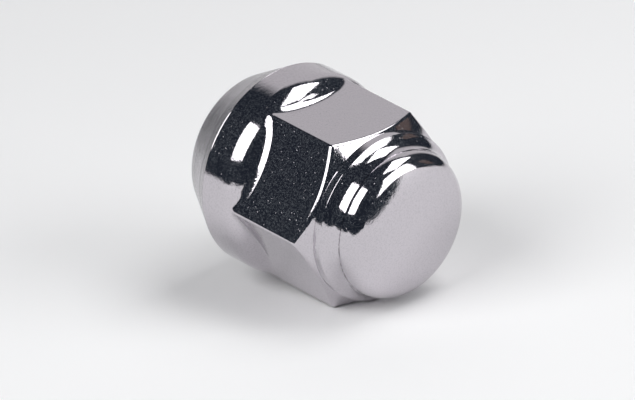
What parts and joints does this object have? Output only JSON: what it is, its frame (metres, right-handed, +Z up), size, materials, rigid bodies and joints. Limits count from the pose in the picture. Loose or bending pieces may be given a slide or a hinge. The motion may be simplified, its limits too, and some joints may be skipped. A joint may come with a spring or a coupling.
{
  "type": "lug nut",
  "caption": "Closed-end wheel lug nut: cone seat, round collar, hexagon with chamfered top, and a domed cap over a blind threaded bore.",
  "frame": {"origin": "centre of the overall box at the height of the surface that the nut lies on", "axes": "+Z up, +X towards the domed end; the nut lies on one flat and its collar, so its own axis runs in the XZ plane and dips about 8 degrees below +X"},
  "size_m": [0.0304, 0.0246, 0.0248],
  "materials": {
    "chrome_plate": "mirror-bright decorative plating on steel, with fine turning lines on the cone seat"
  },
  "bodies": {
    "root": {"lug_nut": "chrome_plate"}
  },
  "joints": []
}
